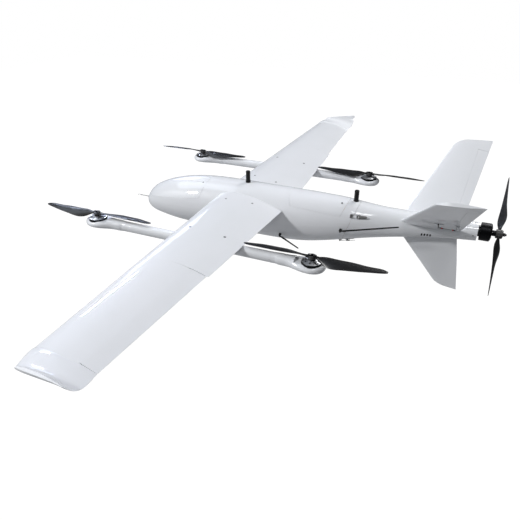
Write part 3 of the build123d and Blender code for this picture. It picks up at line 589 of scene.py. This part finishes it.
def add_tail_linkages():
    """Clevises and their red keepers on the tail pushrods."""
    for side, side_name in SIDES:
        rod_node = "ruddervator_pushrod_" + side_name
        run = rod_ends(rod_node)
        way = (run[1] - run[0]).normalized()
        keepers = bmesh.new()
        for end, sign in ((run[0], 1), (run[1], -1)):
            place = frame_at(end + way * (sign * 12.0 * MM), way)
            lathe(keepers, place, [
                (1.6, -1.8), (2.7, -1.5), (2.9, 0.0), (2.7, 1.5), (1.6, 1.8), (1.3, 0.0),
            ], 20)
        finish_piece("clevis_keepers_" + side_name, keepers, "red_rubber", rod_node)
        clevises = bmesh.new()
        for end, sign in ((run[0], 1), (run[1], -1)):
            place = frame_at(end + way * (sign * 9.0 * MM), way)
            lathe(clevises, place, [
                (1.05, -5.0), (1.9, -4.6), (2.1, -3.0), (2.1, 6.0), (1.6, 8.5), (1.05, 9.0),
            ], 16)
        finish_piece("clevises_" + side_name, clevises, "black_metal", rod_node)


def rod_ends(node):
    """Centres of a pushrod's two eyes, from the ends of its mesh."""
    verts = [v.co for v in NODES[node].data.vertices]
    fore = max(v.x for v in verts)
    aft = min(v.x for v in verts)
    ends = []
    for edge, sign in ((fore, -1), (aft, 1)):
        near = [v for v in verts if abs(v.x - edge) < 5.4 * MM]
        total = Vector((0, 0, 0))
        for spot in near:
            total += spot
        centre = total / len(near)
        centre.x = edge + sign * 2.7 * MM
        ends.append(centre)
    return ends


def add_mast_details():
    """Moulded collars on the two satellite antennas."""
    verts = [v.co for v in NODES["gnss_antennas"].data.vertices]
    groups = ([v for v in verts if v.x > -0.25], [v for v in verts if v.x <= -0.25])
    for count, spots in enumerate(groups):
        high = max(v.z for v in spots)
        crown = [v for v in spots if v.z > high - 0.5 * MM]
        x = (max(v.x for v in crown) + min(v.x for v in crown)) / 2
        bands = bmesh.new()
        place = frame_at((x, 0, high), (0, 0, 1))
        lathe(bands, place, [
            (9.3, -49.0), (10.4, -49.0), (10.9, -47.5), (10.9, -43.5), (10.3, -42.4), (9.3, -42.0),
        ], 40)
        lathe(bands, place, [(9.3, -6.4), (9.75, -6.2), (9.75, -5.4), (9.3, -5.2)], 40)
        finish_piece("antenna_collars_%d" % (count + 1), bands, "black_rubber", "root")


def joint_record(name):
    """The part's own record of one joint."""
    return next(joint for joint in frame["record"]["behaviour"]["joints"] if joint["name"] == name)


def add_wing_fasteners():
    """Heads of the root screws and boom bolts, seated on the wing skin over the CAD shanks."""
    groups = []
    for vert in NODES["airframe_screws"].data.vertices:
        if abs(vert.co.y) < 100 * MM or vert.co.z < 185 * MM:
            continue
        for group in groups:
            if (group[0].xy - vert.co.xy).length < 12 * MM:
                group.append(vert.co)
                break
        else:
            groups.append([vert.co])
    for side, side_name in SIDES:
        heads = bmesh.new()
        for group in groups:
            if group[0].y * side < 0:
                continue
            x = (max(v.x for v in group) + min(v.x for v in group)) / 2
            y = (max(v.y for v in group) + min(v.y for v in group)) / 2
            radius = (max(v.x for v in group) - min(v.x for v in group)) / 2 / MM + 0.8
            clear = (radius + 2.0) * MM
            hits = []
            for dx, dy in ((clear, 0), (-clear, 0), (0, clear), (0, -clear)):
                hits.append(skin_hit("wing_panel_" + side_name, (x + dx, y + dy, ABOVE), (0, 0, -1)))
            centre = sum((point for point, _ in hits), Vector()) / len(hits)
            normal = sum((way for _, way in hits), Vector()).normalized()
            lathe(heads, frame_at(centre, normal), [
                (0, -0.5), (radius, -0.5), (radius, 0.20), (0.90 * radius, 0.40),
                (0.46 * radius, 0.40), (0.42 * radius, -0.10), (0, -0.20),
            ], 24)
        finish_piece("wing_fasteners_" + side_name, heads, "black_metal", "root")


def add_whip_sheaths():
    """Thick tapered sheaths over the two hinged whips."""
    for name in ("side_whip_antenna_front", "side_whip_antenna_rear"):
        pivot = Vector(joint_record(name + "_tilt")["pos_m"])
        verts = [v.co for v in NODES[name].data.vertices]
        reach = max((v - pivot).length for v in verts)
        far = [v for v in verts if (v - pivot).length > reach - 2 * MM]
        tip = sum(far, Vector()) / len(far)
        length = reach / MM
        sheath = bmesh.new()
        lathe(sheath, frame_at(pivot, tip - pivot), [
            (0, 14.0), (3.6, 14.0), (4.0, 15.5), (3.9, 24.0), (3.5, 26.0),
            (2.7, length - 4.0), (2.0, length - 1.0), (0, length - 0.4),
        ], 24)
        finish_piece(name + "_sheath", sheath, "black_rubber", name)


SEAL_STEPS = 48
SEAL_ON_WING = (-9.5, -6.5)        # lines aft of the hinge, in millimetres, where the tape lies on the wing
SEAL_OVER_GAP = (-4.0, -1.5, 1.0)
SEAL_ON_AILERON = (3.0, 6.5)


def add_gap_seals():
    """Thin white tape over each aileron hinge, shaped to the wing and aileron skins."""
    for side_name in ("left", "right"):
        aileron = "aileron_" + side_name
        joint = joint_record(aileron + "_hinge")
        hinge = Vector(joint["pos_m"])
        axis = Vector(joint["axis"])
        aft = Vector((-axis.y, axis.x, 0)).normalized()
        low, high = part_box(aileron)
        inner, outer = sorted((low[1], high[1]))
        rows = []
        for step in range(SEAL_STEPS + 1):
            y = inner + 2.5 * MM + (outer - inner - 5 * MM) * step / SEAL_STEPS
            line = hinge + axis * ((y - hinge.y) / axis.y)
            heights = {}
            for across in SEAL_ON_WING + SEAL_ON_AILERON:
                node = "wing_panel_" + side_name if across in SEAL_ON_WING else aileron
                spot = line + aft * (across * MM)
                point, _ = skin_hit(node, (spot.x, spot.y, ABOVE), (0, 0, -1))
                heights[across] = point.z
            row = []
            for across in SEAL_ON_WING + SEAL_OVER_GAP + SEAL_ON_AILERON:
                if across in heights:
                    z = heights[across]
                else:
                    fore, rear = SEAL_ON_WING[-1], SEAL_ON_AILERON[0]
                    share = (across - fore) / (rear - fore)
                    z = heights[fore] * (1 - share) + heights[rear] * share + 0.1 * MM
                spot = line + aft * (across * MM)
                row.append((spot.x, spot.y, z))
            rows.append(row)
        tape = bmesh.new()
        lower = [[tape.verts.new((x, y, z + 0.02 * MM)) for x, y, z in row] for row in rows]
        upper = [[tape.verts.new((x, y, z + 0.14 * MM)) for x, y, z in row] for row in rows]
        last = len(rows[0]) - 1
        for here in range(SEAL_STEPS):
            for k in range(last):
                after = here + 1
                tape.faces.new((upper[here][k], upper[here][k + 1], upper[after][k + 1], upper[after][k]))
                tape.faces.new((lower[here][k], lower[after][k], lower[after][k + 1], lower[here][k + 1]))
            for k in (0, last):
                tape.faces.new((upper[here][k], upper[here + 1][k], lower[here + 1][k], lower[here][k]))
        for here in (0, SEAL_STEPS):
            for k in range(last):
                tape.faces.new((upper[here][k], lower[here][k], lower[here][k + 1], upper[here][k + 1]))
        piece = finish_piece("aileron_gap_seal_" + side_name, tape, "white_paint", None)
        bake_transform(piece)


def paint_bells():
    """Bare machined crowns on the lift motor bells; their sides stay black."""
    for corner in CORNERS:
        bell = NODES["lift_motor_bell_" + corner]
        centre = middle("lift_motor_bell_" + corner)
        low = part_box("lift_motor_bell_" + corner)[0][2]
        bell.data.materials.append(MATERIALS["bright_crown"])
        for polygon in bell.data.polygons:
            spot = polygon.center
            reach = math.hypot(spot.x - centre.x, spot.y - centre.y)
            if spot.z > low + 15.4 * MM and reach > 12.6 * MM:
                polygon.material_index = 1


# ---------------------------------------------------------------- build
add_camera()
set_world()
add_floor()
add_lights()
bpy.context.scene.view_settings.view_transform = "Standard"
bpy.context.scene.view_settings.look = "None"

MATERIALS = make_materials()
for node in NODES.values():
    slot_name = node.data.materials[0].name
    node.data.materials.clear()
    node.data.materials.append(MATERIALS[slot_name])
    smooth(node)
for node_name in ("motor_stators", "pusher_prop_nut"):
    NODES[node_name].data.materials[0] = MATERIALS["black_metal"]
paint_bells()
add_lift_details()
add_pusher_details()
add_vents()
add_tail_linkages()
add_mast_details()
add_wing_fasteners()
add_whip_sheaths()
add_gap_seals()
